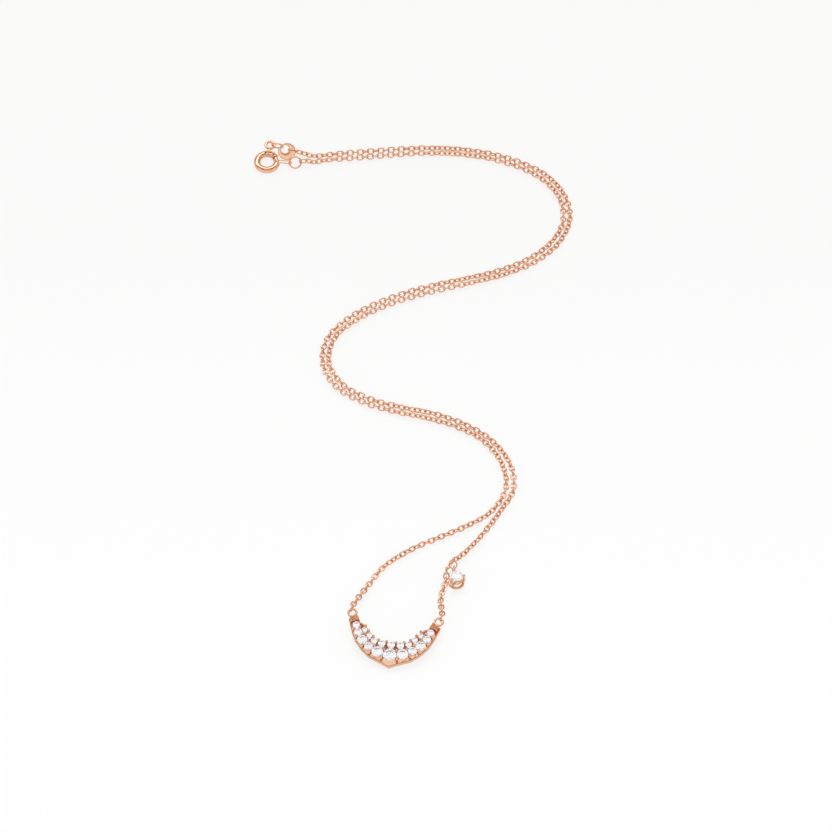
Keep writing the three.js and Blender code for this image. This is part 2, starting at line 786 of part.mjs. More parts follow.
// The coil spring behind the bolt, drawn at the length it has with the mouth open.
const coil = [];
const coilSteps = spring.turns * 7;
for (let i = 0; i <= coilSteps; i++) {
  const share = i / coilSteps;
  const angle = spring.from + (spring.to - spring.from) * share;
  const turn = 2 * Math.PI * spring.turns * share;
  const radius = (spring.outer - spring.wire) / 2;
  const out = claspRadius + radius * Math.cos(turn);
  coil.push(vec(out * Math.cos(angle), out * Math.sin(angle), radius * Math.sin(turn)));
}
add(clasp, "clasp_spring", wire(curve(coil), spring.wire, coilSteps, 4), springSteel);

// The eyelet stands out from the tube on a short neck.
const atEyelet = (radius) =>
  vec(radius * Math.cos(eyelet.at), radius * Math.sin(eyelet.at));
const neckFoot = CLASP.outer / 2 + 0.02;
const eyeletCentre = atEyelet(neckFoot + eyelet.neck + eyelet.outer / 2);
const neckEnd = atEyelet(neckFoot + eyelet.neck + eyelet.wire / 2);
const neck = wire(curve([atEyelet(neckFoot), neckEnd]), eyelet.wire, 1, 10);
const eye = ring(eyelet.outer, eyelet.wire, 8, 22).translate(...eyeletCentre);
add(clasp, "clasp_eyelet", joined(eye, neck));

// A link drawn round two wires that face each other, set on edge between them.
function bridgeLink(name, from, fromWire, to, toWire, play, size, normal) {
  const along = to.clone().sub(from);
  const wireSpan = along.length() + (fromWire + toWire) / 2;
  const length = wireSpan + play + 2 * size.wire;
  const middle = from.clone().lerp(to, 0.5);
  middle.addScaledVector(along.clone().normalize(), (toWire - fromWire) / 4);
  add(necklace, name, orient(ovalLink({ ...size, length }), along, normal, middle));
}
const eyeletSide = onRing(clasp, ringRadius(eyelet), -10 * TILT, eyeletCentre);
const tagLeft = tagMargin(140 * TILT);
bridgeLink(
  "eyelet_link",
  eyeletSide,
  eyelet.wire,
  tagLeft.middle,
  tagLeft.breadth,
  0.12,
  EYELET_LINK,
  vec(0.2, 1, 0.1),
);
const boltSide = onRing(clasp, claspRadius, CATCH_LINK.at);
const lowerRingSide = onRing(lowerRing, ringRadius(LOWER_RING), 180 * TILT);
bridgeLink(
  "catch_link",
  boltSide,
  CLASP.bolt,
  lowerRingSide,
  LOWER_RING.wire,
  0.4,
  CATCH_LINK,
  vec(0, 0.94, 0.34),
);

export default necklace;
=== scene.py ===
"""The looks of a rose-gold pendant necklace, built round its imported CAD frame.

Lengths are in metres and angles in radians, except that the lights' places are in degrees.

The chain's runs become interlocked cable links, the wires and rings become smooth round wire,
and the stones become brilliant-cut solids. Places and sizes come from the CAD nodes.
"""

import math
import random

import bmesh
import bpy
import numpy as np
from mathutils import Matrix, Vector


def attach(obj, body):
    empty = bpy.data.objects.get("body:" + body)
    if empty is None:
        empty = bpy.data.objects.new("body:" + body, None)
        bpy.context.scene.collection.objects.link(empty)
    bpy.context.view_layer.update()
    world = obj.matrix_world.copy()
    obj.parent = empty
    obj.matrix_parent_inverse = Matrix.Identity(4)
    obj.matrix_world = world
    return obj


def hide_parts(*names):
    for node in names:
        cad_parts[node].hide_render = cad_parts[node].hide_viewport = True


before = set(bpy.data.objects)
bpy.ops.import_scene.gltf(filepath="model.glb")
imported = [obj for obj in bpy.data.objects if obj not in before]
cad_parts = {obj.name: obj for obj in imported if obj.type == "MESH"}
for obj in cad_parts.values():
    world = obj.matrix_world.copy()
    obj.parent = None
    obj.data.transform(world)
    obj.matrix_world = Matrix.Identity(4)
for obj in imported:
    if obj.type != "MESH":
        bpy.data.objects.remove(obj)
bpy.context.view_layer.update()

MM = 0.001
TILT = math.pi / 180

# ---- Driving dimensions --------------------------------------------------------------------

# The point under the camera's aim, where the layout of the chain's routes has its zero.
LAYOUT = Vector((0.01189, -0.00532, 0))

CAMERA = {
    "elevation": 53 * TILT,
    "distance": 0.8,
    "lens": 177.9,
    "sensor": 36,
    "near": 0.01,
    "far": 50,
}

CHAIN = {"wire": 0.31 * MM, "length": 1.67 * MM, "width": 1.27 * MM, "height": 0.66 * MM}
# How a run of links rolls about its own line: each link at random, and all of them slowly to
# and fro, except for the links held at its ends.
ROLL = {"jitter": 9 * TILT, "sway": 36 * TILT, "pace": 0.11, "held_links": 8}
END_LINK_WIRE = 0.28 * MM
CATCH_LINK_WIRE = 0.24 * MM
EYELET_LINK_WIRE = 0.3 * MM
# The cut through a jump ring's wire, and the play left round the charm's ring.
RING_CUT = 0.04 * MM
RING_PLAY = 0.05 * MM
# How finely the lines of the chain and of the claws are laid out before wire follows them.
CHAIN_STEP = 0.1 * MM
CLAW_STEP = 0.12 * MM
RING_STEPS = 72
RING_SIDES = 16
# The polar angles of the rings of points that round off a wire's end.
CAP_ANGLES = (0.15, 0.6, 1.1)

PENDANT = {
    "x": -3.94 * MM,
    "y": -49.78 * MM,
    "yaw": -7.5 * TILT,
    "lean": 8 * TILT,
    "radius": 7.25 * MM,
    "point": 2.0 * MM,
    "claw_fit": 0.32 * MM,
    "claw_wire": 0.4 * MM,
    "claw_flare": 0.05 * MM,
    "claw_top": 2.22 * MM,
    "claw_bend": 0.3 * MM,
    "tip_lean": 0.06 * MM,
    "bead": 0.54 * MM,
    "bead_flat": 0.86,
    "bead_lean": 0.07 * MM,
}
# The solid pieces of the pendant that keep their CAD shape, and how round their edges are.
ROUNDED_EDGES = {
    "gallery_plate": 0.1 * MM,
    "seat_rail": 0.04 * MM,
    "left_end_block": 0.4 * MM,
    "right_end_block": 0.4 * MM,
}
# A brilliant's cut, as shares of its girdle's radius.
CUT = {"table": 0.57, "crown": 0.32, "pavilion": 0.86, "edge": 0.02, "star": 0.79, "half": 0.24}
CHARM = {
    "x": 7.62 * MM,
    "y": -39.61 * MM,
    "yaw": 8 * TILT,
    "lean": 0,
    "claw_wire": 0.5 * MM,
    "claw_turn": -15 * TILT,
    "claw_reach": 1.44 * MM,
    "claw_foot": 0.82 * MM,
    "claw_top": 2.85 * MM,
    "claw_bend": 0.4 * MM,
    "bead": 0.6 * MM,
    "bead_flat": 0.9,
    "stone_turn": 11 * TILT,
    "ring_cut": 0.4,
}
CLASP = {
    "x": -30.37 * MM,
    "y": 64.2 * MM,
    "lean": 4 * TILT,
    "outer": 5.4 * MM,
    "tube": 1.36 * MM,
    "wall": 0.2 * MM,
    "rim": 0.04 * MM,
    "bolt": 0.8 * MM,
    "bolt_inset": 2 * TILT,
    "mouth": (-14 * TILT, 34 * TILT),
    "bolt_back": 106 * TILT,
    "slot": (44 * TILT, 104 * TILT),
    "slot_width": 0.42 * MM,
    "knob": {"head": 0.52 * MM, "pin": 0.28 * MM, "flat": 0.8},
    "spring": {"wire": 0.14 * MM, "outer": 0.78 * MM, "turns": 9, "turn_steps": 20},
    "spring_span": (154 * TILT, 222 * TILT),
    "eyelet": {
        "outer": 2.3 * MM,
        "wire": 0.58 * MM,
        "neck": 0.45 * MM,
        "sunk": 0.05 * MM,
        "at": 83 * TILT,
    },
    "ring_cut": 4.2,
}
TAG = {
    "x": -26.35 * MM,
    "y": 66.65 * MM,
    "z": 1.25 * MM,
    "lean": 26 * TILT,
    "outer": 3.6 * MM,
    "thick": 0.42 * MM,
    "edge": 0.14 * MM,
    "hole": (-0.37 * MM, 0.5 * MM, 1.7 * MM),
}

# The metal's tones drift slowly and its polish has fine marks. Noise is in cells to the metre.
METAL_NOISE = {"drift": 900, "polish": 2600, "marks": 5200, "strength": 0.06, "depth": 0.02 * MM}
CRYSTAL = {
    "index": 2.17,
    "tints": ((0.94, 0.96, 1.0), (1.0, 1.0, 1.0)),
    "tint_noise": 700,
    "polish_noise": 1800,
    "rough": 0.02,
    # The stones give off a faint cool light of their own: a painted glow that brightens them.
    "glow": (0.9, 0.94, 1.0),
    "painted_glow_strength": 0.04,
}

# The table lies a hair under the necklace, so that nothing shares its plane.
TABLE = {
    "size": 12,
    "drop": 0.02 * MM,
    "tone": (0.1, 0.1, 0.1),
    "rough": 0.28,
    "gloss": 0.3,
    "glow": 0.82,
}
ROOM_LIGHT = 1.06
WHITE = (1, 1, 1)
PALE = (1.0, 0.98, 0.99)
WARM = (1.0, 0.66, 0.46)
COOL = (0.74, 0.82, 1.0)
# What the metal reflects, each with its azimuth and elevation in degrees, its distance and size,
# its strength and its colour: a dim ceiling, three bright panels and a dark strip in front.
METAL_CARDS = {
    "ceiling": (0, 88, 1.3, (3.4, 3.4), 0.62, WARM),
    "panel_top": (0, 62, 1.0, (0.9, 0.36), 3.2, WHITE),
    "panel_left": (300, 44, 1.0, (0.16, 0.36), 3.2, WHITE),
    "panel_near": (180, 78, 1.0, (0.5, 0.22), 1.15, WHITE),
    "front_dark": (180, 42, 1.1, (1.3, 0.3), 0.3, WARM),
}
# Low walls all round, each with its elevation, distance and size. Those within reach of the
# front are bright and the others dim.
WALL_PLACE = (14, 1.4, (1.2, 0.5))
FRONT = 180
FRONT_REACH = 50
BRIGHT_WALL = (1.12, PALE)
DIM_WALL = (0.55, WARM)
# Cool grey strips all round that give the stones' facets their contrast.
FACET_CARD = (48, 1.1, (0.24, 0.4), 0.5, COOL)

# Both strands over the table, from the clasp to the pendant, and the short run below the charm.
UPPER_ROUTE = [
    (-0.0207, 0.06595),
    (-0.0172, 0.0664),
    (-0.0107, 0.0671),
    (-0.0043, 0.0677),
    (0.0022, 0.0681),
    (0.0087, 0.0678),
    (0.0150, 0.0666),
    (0.0211, 0.0643),
    (0.0265, 0.0608),
    (0.0301, 0.0554),
    (0.0310, 0.0491),
    (0.0287, 0.0431),
    (0.0242, 0.0384),
    (0.0186, 0.0353),
    (0.0125, 0.0332),
    (0.0062, 0.0314),
    (0.0001, 0.0295),
    (-0.0059, 0.0270),
    (-0.0114, 0.0236),
    (-0.0159, 0.0190),
    (-0.0171, 0.0127),
    (-0.0142, 0.0071),
    (-0.0088, 0.0036),
    (-0.0026, 0.0016),
    (0.0037, 0.0),
    (0.0096, -0.0026),
    (0.0147, -0.0065),
    (0.0181, -0.0120),
    (0.0187, -0.0180),
    (0.0164, -0.0228),
    (0.0127, -0.0286),
    (0.0090, -0.0332),
]
LOWER_ROUTE = [
    (-0.0208, 0.0643),
    (-0.0173, 0.0650),
    (-0.0109, 0.0656),
    (-0.0046, 0.0663),
    (0.0018, 0.0667),
    (0.0082, 0.0665),
    (0.0145, 0.0654),
    (0.0205, 0.0632),
    (0.0258, 0.0596),
    (0.0292, 0.0543),
    (0.0295, 0.0480),
    (0.0265, 0.0424),
    (0.0216, 0.0383),
    (0.0158, 0.0356),
    (0.0097, 0.0338),
    (0.0035, 0.0321),
    (-0.0025, 0.0300),
    (-0.0083, 0.0272),
    (-0.0135, 0.0236),
    (-0.0175, 0.0186),
    (-0.0183, 0.0124),
    (-0.0156, 0.0067),
    (-0.0104, 0.0030),
    (-0.0044, 0.0007),
    (0.0018, -0.0009),
    (0.0078, -0.0031),
    (0.0131, -0.0066),
    (0.0165, -0.0119),
    (0.0172, -0.0180),
    (0.0143, -0.0234),
    (0.0097, -0.0267),
    (0.0040, -0.0296),
    (-0.0012, -0.0324),
    (-0.0059, -0.0360),
    (-0.0089, -0.0403),
]
CHARM_ROUTE = [(0.00572, -0.0386), (0.00535, -0.0406), (0.00465, -0.0434)]


# ---- Camera --------------------------------------------------------------------------------


def make_camera():
    """A long lens that looks down on the layout from the front."""
    camera = bpy.data.objects.new("camera", bpy.data.cameras.new("camera"))
    bpy.context.scene.collection.objects.link(camera)
    elevation = CAMERA["elevation"]
    back = Vector((0, -math.cos(elevation), math.sin(elevation)))
    camera.location = LAYOUT + back * CAMERA["distance"]
    camera.rotation_euler = (-back).to_track_quat("-Z", "Y").to_euler()
    camera.data.lens = CAMERA["lens"]
    camera.data.sensor_width = CAMERA["sensor"]
    camera.data.clip_start = CAMERA["near"]
    camera.data.clip_end = CAMERA["far"]
    bpy.context.scene.camera = camera


make_camera()


# ---- Materials -----------------------------------------------------------------------------


def new_material(name):
    """A material with a Principled shader, and a function that adds nodes to it."""
    material = bpy.data.materials.new(name)
    material.use_nodes = True
    tree = material.node_tree
    shader = tree.nodes["Principled BSDF"]

    def node(kind, **values):
        made = tree.nodes.new("ShaderNode" + kind)
        for key, value in values.items():
            made.inputs[key].default_value = value
        return made

    return material, tree, shader, node


def noise_ramp(tree, node, coordinates, scale, low, high, detail=3.0):
    """A noise in the piece's own space, spread between two colours."""
    noise = node("TexNoise", Scale=scale, Detail=detail)
    tree.links.new(coordinates.outputs["Object"], noise.inputs["Vector"])
    ramp = node("ValToRGB")
    ramp.color_ramp.elements[0].position = 0.35
    ramp.color_ramp.elements[1].position = 0.65
    for element, value in zip(ramp.color_ramp.elements, (low, high)):
        element.color = (*value, 1)
    tree.links.new(noise.outputs["Fac"], ramp.inputs["Fac"])
    return ramp.outputs["Color"]


def metal(name, dark, light, smooth, rough):
    """Polished metal: slow colour drift, fine polishing marks and a faintly uneven surface."""
    material, tree, shader, node = new_material(name)
    coordinates = node("TexCoord")
    noise = METAL_NOISE
    colour = noise_ramp(tree, node, coordinates, noise["drift"], dark, light)
    tree.links.new(colour, shader.inputs["Base Color"])
    smooth, rough = (smooth,) * 3, (rough,) * 3
    polish = noise_ramp(tree, node, coordinates, noise["polish"], smooth, rough, detail=6.0)
    tree.links.new(polish, shader.inputs["Roughness"])
    marks = node("TexNoise", Scale=noise["marks"], Detail=4.0)
    tree.links.new(coordinates.outputs["Object"], marks.inputs["Vector"])
    bump = node("Bump", Strength=noise["strength"], Distance=noise["depth"])
    tree.links.new(marks.outputs["Fac"], bump.inputs["Height"])
    tree.links.new(bump.outputs["Normal"], shader.inputs["Normal"])
    shader.inputs["Metallic"].default_value = 1.0
    return material


def crystal(name):
    """A clear cut stone, with the faintest clouding in its body and on its polish, and a faint
    painted glow.
    """
    material, tree, shader, node = new_material(name)
    coordinates = node("TexCoord")
    tint = noise_ramp(tree, node, coordinates, CRYSTAL["tint_noise"], *CRYSTAL["tints"])
    tree.links.new(tint, shader.inputs["Base Color"])
    smooth, rough = (0.0,) * 3, (CRYSTAL["rough"],) * 3
    polish = noise_ramp(tree, node, coordinates, CRYSTAL["polish_noise"], smooth, rough)
    tree.links.new(polish, shader.inputs["Roughness"])
    shader.inputs["Transmission Weight"].default_value = 1.0
    shader.inputs["IOR"].default_value = CRYSTAL["index"]
    # A faint painted glow: the stone gives off cool light of its own.
    shader.inputs["Emission Color"].default_value = (*CRYSTAL["glow"], 1)
    shader.inputs["Emission Strength"].default_value = CRYSTAL["painted_glow_strength"]
    return material


ROSE_GOLD = metal("polished_rose_gold", (0.77, 0.455, 0.295), (0.83, 0.515, 0.345), 0.05, 0.14)
SPRING_STEEL = metal("drawn_steel", (0.45, 0.46, 0.48), (0.6, 0.61, 0.63), 0.2, 0.35)
STONE = crystal("cut_crystal")


# ---- Mesh building -------------------------------------------------------------------------


def smooth_route(points, spacing):
    """A curve through given points, as points about that far apart along it."""
    ends = [2 * points[0] - points[1], *points, 2 * points[-1] - points[-2]]
    steps = 40
    fine = []
    for before, start, end, after in zip(ends, ends[1:], ends[2:], ends[3:]):
        leave, arrive = (end - before) / 2, (after - start) / 2
        for i in range(steps):
            t = i / steps
            fine.append(
                (2 * t**3 - 3 * t**2 + 1) * start
                + (t**3 - 2 * t**2 + t) * leave
                + (3 * t**2 - 2 * t**3) * end
                + (t**3 - t**2) * arrive
            )
    fine.append(points[-1])
    return evenly(np.array(fine), spacing)


def evenly(line, spacing):
    """A polyline cut again into equal steps, as near to spacing as its length allows."""
    along = np.concatenate([[0], np.cumsum(np.linalg.norm(np.diff(line, axis=0), axis=1))])
    steps = max(1, round(along[-1] / spacing))
    wanted = np.linspace(0, along[-1], steps + 1)
    return np.column_stack([np.interp(wanted, along, line[:, k]) for k in range(3)])


def turned_frames(line, closed):
    """Two cross directions at each point of a line, carried along it without twist."""
    tangents = np.roll(line, -1, axis=0) - np.roll(line, 1, axis=0)
    if not closed:
        tangents[0], tangents[-1] = line[1] - line[0], line[-1] - line[-2]
    tangents /= np.linalg.norm(tangents, axis=1)[:, None]
    # Any direction does to start from, as long as the line doesn't run along it.
    first = np.cross(tangents[0], [0.31, 0.17, 0.93])
    side = first / np.linalg.norm(first)
    sides = []
    for tangent in tangents:
        side = side - tangent * side.dot(tangent)
        side /= np.linalg.norm(side)
        sides.append(side)
    sides = np.array(sides)
    if closed:
        end = sides[-1] - tangents[0] * sides[-1].dot(tangents[0])
        end /= np.linalg.norm(end)
        slip = math.atan2(np.cross(end, sides[0]).dot(tangents[0]), end.dot(sides[0]))
        for i, tangent in enumerate(tangents):
            angle = slip * i / len(line)
            other = np.cross(tangent, sides[i])
            sides[i] = sides[i] * math.cos(angle) + other * math.sin(angle)
    return tangents, sides, np.cross(tangents, sides)


def wire(line, thickness, closed=False, sides=12, round_ends=True):
    """Round wire along a line of points: closed, or with round or flat ends."""
    line = np.array(line, float)
    radii = np.full(len(line), thickness / 2)
    tangents, across, up = turned_frames(line, closed)
    if not closed and round_ends:
        cap = [(math.cos(a), math.sin(a)) for a in CAP_ANGLES]
        head = [line[0] - tangents[0] * thickness / 2 * c for c, _ in cap]
        tail = [line[-1] + tangents[-1] * thickness / 2 * c for c, _ in reversed(cap)]
        line = np.vstack([head, line, tail])
        slim = [thickness / 2 * s for _, s in cap]
        radii = np.concatenate([slim, radii, slim[::-1]])
        across = np.vstack([[across[0]] * len(cap), across, [across[-1]] * len(cap)])
        up = np.vstack([[up[0]] * len(cap), up, [up[-1]] * len(cap)])
    angles = 2 * math.pi * np.arange(sides) / sides
    vertices = (
        line[:, None, :]
        + radii[:, None, None] * np.cos(angles)[None, :, None] * across[:, None, :]
        + radii[:, None, None] * np.sin(angles)[None, :, None] * up[:, None, :]
    ).reshape(-1, 3)
    rings = len(line)
    faces = []
    for i in range(rings if closed else rings - 1):
        j = (i + 1) % rings
        for k in range(sides):
            m = (k + 1) % sides
            faces.append((i * sides + k, i * sides + m, j * sides + m, j * sides + k))
    if not closed:
        faces.append(tuple(reversed(range(sides))))
        faces.append(tuple((rings - 1) * sides + k for k in range(sides)))
    return vertices, faces


def circle(radius, steps=RING_STEPS, start=0.0, end=2 * math.pi):
    """Points round a circle in the XY plane; a whole turn leaves out the repeated point."""
    whole = abs(end - start) >= 2 * math.pi - 1e-9
    count = steps if whole else steps + 1
    angles = [start + (end - start) * i / steps for i in range(count)]
    return np.array([(radius * math.cos(a), radius * math.sin(a), 0) for a in angles])


def racetrack(length, width, steps=7):
    """The middle line of an oval link in the XY plane: two half circles and two straights."""
    bend, straight = width / 2, (length - width) / 2
    points = []
    for end in (1, -1):
        for i in range(steps + 1):
            angle = math.pi * (i / steps - 0.5)
            points.append(
                (end * (straight + bend * math.cos(angle)), end * bend * math.sin(angle), 0)
            )
    return np.array(points)


def oval_link(length, width, thickness, sides=8, steps=7):
    """An oval link of round wire in the XY plane, long in X, measured over its outside."""
    line = racetrack(length - thickness, width - thickness, steps)
    return wire(line, thickness, closed=True, sides=sides)


def ball(diameter, at, flat=1.0, rings=6, sides=12):
    """A round bead, or a button if it is flattened in height."""
    vertices = [(0, 0, 1)]
    for i in range(1, rings):
        polar = math.pi * i / rings
        for k in range(sides):
            turn = 2 * math.pi * k / sides
            vertices.append(
                (
                    math.sin(polar) * math.cos(turn),
                    math.sin(polar) * math.sin(turn),
                    math.cos(polar),
                )
            )
    vertices.append((0, 0, -1))
    faces = []
    last = len(vertices) - 1
    for k in range(sides):
        m = (k + 1) % sides
        faces.append((0, 1 + k, 1 + m))
        for i in range(rings - 2):
            a, b = 1 + i * sides, 1 + (i + 1) * sides
            faces.append((a + k, b + k, b + m, a + m))
        low = 1 + (rings - 2) * sides
        faces.append((last, low + m, low + k))
    size = np.array([diameter / 2, diameter / 2, diameter / 2 * flat])
    return np.array(vertices) * size + np.array(at), faces


def brilliant(diameter):
    """A round brilliant cut, its girdle in the XY plane: 33 crown and 24 pavilion facets."""
    girdle = diameter / 2
    table, crown, pavilion, edge, star, half = (share * girdle for share in CUT.values())
    eighth = math.pi / 4
    slope = (crown - edge) / (girdle - table)
    depth = (pavilion - edge) / girdle

    def at(radius, turn, height):
        return (radius * math.cos(turn), radius * math.sin(turn), height)

    vertices, index = [], {}
    for k in range(8):
        turn = k * eighth
        between = turn + eighth / 2
        star_height = crown - (star * math.cos(eighth / 2) - table) * slope
        half_height = -pavilion + half * math.cos(eighth / 2) * depth
        for name, point in (
            ("table", at(table, turn, crown)),
            ("star", at(star, between, star_height)),
            ("top", at(girdle, turn, edge)),
            ("top_between", at(girdle, between, edge)),
            ("low", at(girdle, turn, -edge)),
            ("low_between", at(girdle, between, -edge)),
            ("half", at(half, between, half_height)),
        ):
            index[name, k] = len(vertices)
            vertices.append(point)
    culet = len(vertices)
    vertices.append((0, 0, -pavilion))
    faces = [tuple(index["table", k] for k in range(8))]
    for k in range(8):
        n, p = (k + 1) % 8, (k - 1) % 8
        faces += [
            (index["table", k], index["star", k], index["table", n]),
            (index["table", k], index["star", p], index["top", k], index["star", k]),
            (index["star", k], index["top", k], index["top_between", k]),
            (index["star", k], index["top_between", k], index["top", n]),
            (index["top", k], index["low", k], index["low_between", k], index["top_between", k]),
            (index["top_between", k], index["low_between", k], index["low", n], index["top", n]),
            (index["half", k], index["low_between", k], index["low", k]),
            (index["half", k], index["low", n], index["low_between", k]),
            (culet, index["half", k], index["low", k], index["half", p]),
        ]
    return np.array(vertices), faces


def placed(part, matrix):
    """A part moved by a matrix."""
    vertices, faces = part
    turn = np.array(matrix.to_3x3())
    return vertices @ turn.T + np.array(matrix.translation), faces


def make_piece(name, body, material, parts, replaces=(), smooth=True):
    """One mesh of several parts, riding on a body and standing for its CAD nodes."""
    vertices, faces = [], []
    for part_vertices, part_faces in parts:
        start = sum(len(v) for v in vertices)
        vertices.append(part_vertices)
        faces += [tuple(start + i for i in face) for face in part_faces]
    mesh = bpy.data.meshes.new(name)
    mesh.from_pydata(np.vstack(vertices).tolist(), [], faces)
    mesh.materials.append(material)
    mesh.polygons.foreach_set("use_smooth", [smooth] * len(mesh.polygons))
    mesh.validate()
    piece = bpy.data.objects.new(name, mesh)
    bpy.context.scene.collection.objects.link(piece)
    face_outwards(piece)
    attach(piece, body)
    if replaces:
        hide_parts(*replaces)
    return piece


def face_outwards(piece):
    """Turns every face of a closed mesh to point out."""
    mesh = bmesh.new()
    mesh.from_mesh(piece.data)
    bmesh.ops.recalc_face_normals(mesh, faces=mesh.faces)
    mesh.to_mesh(piece.data)
    mesh.free()


# ---- Places taken from the CAD nodes -------------------------------------------------------


def corners_of(node):
    """The different corners of a CAD node, in metres."""
    points = [v.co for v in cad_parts[node].data.vertices]
    return np.unique(np.round(np.array(points, float), 8), axis=0)


def lie_of(node):
    """How a ring or link lies: a matrix with its long axis as X and its flat normal as Z,
    and its full length, width and thickness."""
    corners = corners_of(node)
    middle = corners.mean(axis=0)
    _, _, axes = np.linalg.svd(corners - middle, full_matrices=False)
    if axes[2][2] < 0:
        axes[2] = -axes[2]
    axes[1] = np.cross(axes[2], axes[0])
    spread = (corners - middle) @ axes.T
    low, high = spread.min(axis=0), spread.max(axis=0)
    middle = middle + (low + high) / 2 @ axes
    matrix = Matrix(axes.T.tolist()).to_4x4()
    matrix.translation = middle
    return matrix, high - low


def stand(spec, height):
    """The matrix of a group that stands on the table, turned about Z and leaned back."""
    place = Vector((spec["x"], spec["y"], height)) + Vector((*LAYOUT.xy, 0))
    yaw = Matrix.Rotation(spec.get("yaw", 0.0), 4, "Z")
    return Matrix.Translation(place) @ yaw @ Matrix.Rotation(spec["lean"], 4, "X")


def seen_from(matrix, node):
    """A CAD node's corners in the frame of a group."""
    inverse = matrix.inverted()
    turn = np.array(inverse.to_3x3())
    return corners_of(node) @ turn.T + np.array(inverse.translation)


# ---- Chain ---------------------------------------------------------------------------------


def make_link(node, body, thickness):
    """An end link or bridge link of smooth oval wire where its CAD node lies."""
    matrix, (length, width, _) = lie_of(node)
    part = oval_link(length, width, thickness, sides=12, steps=14)
    make_piece(node + "_wire", body, ROSE_GOLD, [placed(part, matrix)], [node])


def make_ring(node, body, cut=None, slimmer=0.0):
    """A round ring where its CAD node lies, cut through at one angle if it is a jump ring,
    and slimmer than its CAD wire where it needs play."""
    matrix, (outer, _, thickness) = lie_of(node)
    radius = (outer - thickness) / 2
    thickness -= slimmer
    if cut is None:
        part = wire(circle(radius), thickness, closed=True, sides=RING_SIDES)
    else:
        gap = RING_CUT / 2 / radius
        line = circle(radius, start=cut + gap, end=cut + 2 * math.pi - gap)
        part = wire(line, thickness, sides=RING_SIDES, round_ends=False)
    make_piece(node + "_wire", body, ROSE_GOLD, [placed(part, matrix)], [node])


def link_end(node, towards):
    """The outer end of a link that is nearer to a point, and the way out of it."""
    matrix, (length, _, _) = lie_of(node)
    axis = Vector(matrix.col[0].xyz)
    if (Vector(towards) - matrix.translation).dot(axis) < 0:
        axis = -axis
    return matrix.translation + axis * length / 2, axis


def run_of_links(route, start_link, end_link, upright_first, upright_last):
    """Interlocked cable links between two end links: the parts, their line and its length."""
    points = [Vector((x, y, CHAIN["height"])) + LAYOUT for x, y in route]
    start, out = link_end(start_link, points[0])
    end, back = link_end(end_link, points[-1])
    # The first and last links hook through the end links, so they reach back inside them.
    overlap = END_LINK_WIRE + CHAIN["wire"] - CHAIN["length"] / 2
    start, end = start - out * overlap, end - back * overlap
    line = smooth_route([np.array(p) for p in (start, *points, end)], CHAIN_STEP)
    length = np.linalg.norm(np.diff(line, axis=0), axis=1).sum()
    pitch = CHAIN["length"] - 2 * CHAIN["wire"]
    count = round(length / pitch)
    if (count % 2 == 0) != (upright_first == upright_last):
        count += 1 if length / pitch > count else -1
    centres = evenly(line, length / count)
    shape = oval_link(CHAIN["length"], CHAIN["width"], CHAIN["wire"])
    loose = random.Random(len(route))
    parts = []
    for i, centre in enumerate(centres):
        along = Vector(centres[min(i + 1, count)] - centres[max(i - 1, 0)]).normalized()
        across = Vector((0, 0, 1)).cross(along).normalized()
        # The chain rolls slowly to and fro between its ends, and every link a little by itself.
        free = min(1, i / ROLL["held_links"], (count - i) / ROLL["held_links"])
        roll = loose.uniform(-1, 1) * ROLL["jitter"]
        roll += free * ROLL["sway"] * math.sin(i * ROLL["pace"])
        if (i % 2 == 1) != upright_first:
            roll += math.pi / 2
        matrix = Matrix((along, across, along.cross(across))).transposed().to_4x4()
        matrix = matrix @ Matrix.Rotation(roll, 4, "X")
        matrix.translation = centre
        parts.append(placed(shape, matrix))
    return parts, line, length


def make_strand(name, runs, nodes):
    """One side of the chain, one mesh made of one or more runs of links."""
    parts, lines, length = [], [], 0
    for run in runs:
        run_parts, line, run_length = run_of_links(*run)
        parts += run_parts
        if lines:
            length += np.linalg.norm(line[0] - lines[-1][-1])
        length += run_length
        lines.append(line)
    strand = make_piece(name, "chain", ROSE_GOLD, parts, nodes)


def make_chain():
    """The end links, and both strands hooked between them."""
    for name in (
        "left_end_link",
        "right_end_link",
        "charm_carrier_link",
        "upper_strand_first_link",
        "lower_strand_first_link",
    ):
        make_link(name, "chain", END_LINK_WIRE)
    left = [LOWER_ROUTE, "lower_strand_first_link", "left_end_link", False, False]
    make_strand("left_strand_links", [left], ["left_strand"])
    above = [UPPER_ROUTE, "upper_strand_first_link", "charm_carrier_link", False, True]
    below = [CHARM_ROUTE, "charm_carrier_link", "right_end_link", True, False]
    make_strand(
        "right_strand_links",
        [above, below],
        ["right_strand_upper", "right_strand_lower"],
    )


# ---- Crescent pendant ----------------------------------------------------------------------


def make_stone(node, body, matrix, turn):
    """A brilliant where the CAD stone is set, turned about its own axis."""
    corners = seen_from(matrix, node)
    low, high = corners.min(axis=0), corners.max(axis=0)
    diameter = max(high[0] - low[0], high[1] - low[1])
    middle = (low + high) / 2
    middle[2] = high[2] - CUT["crown"] * diameter / 2
    place = matrix @ Matrix.Translation(middle) @ Matrix.Rotation(turn, 4, "Z")
    part = placed(brilliant(diameter), place)
    make_piece(node + "_cut", body, STONE, [part], [node], smooth=False)


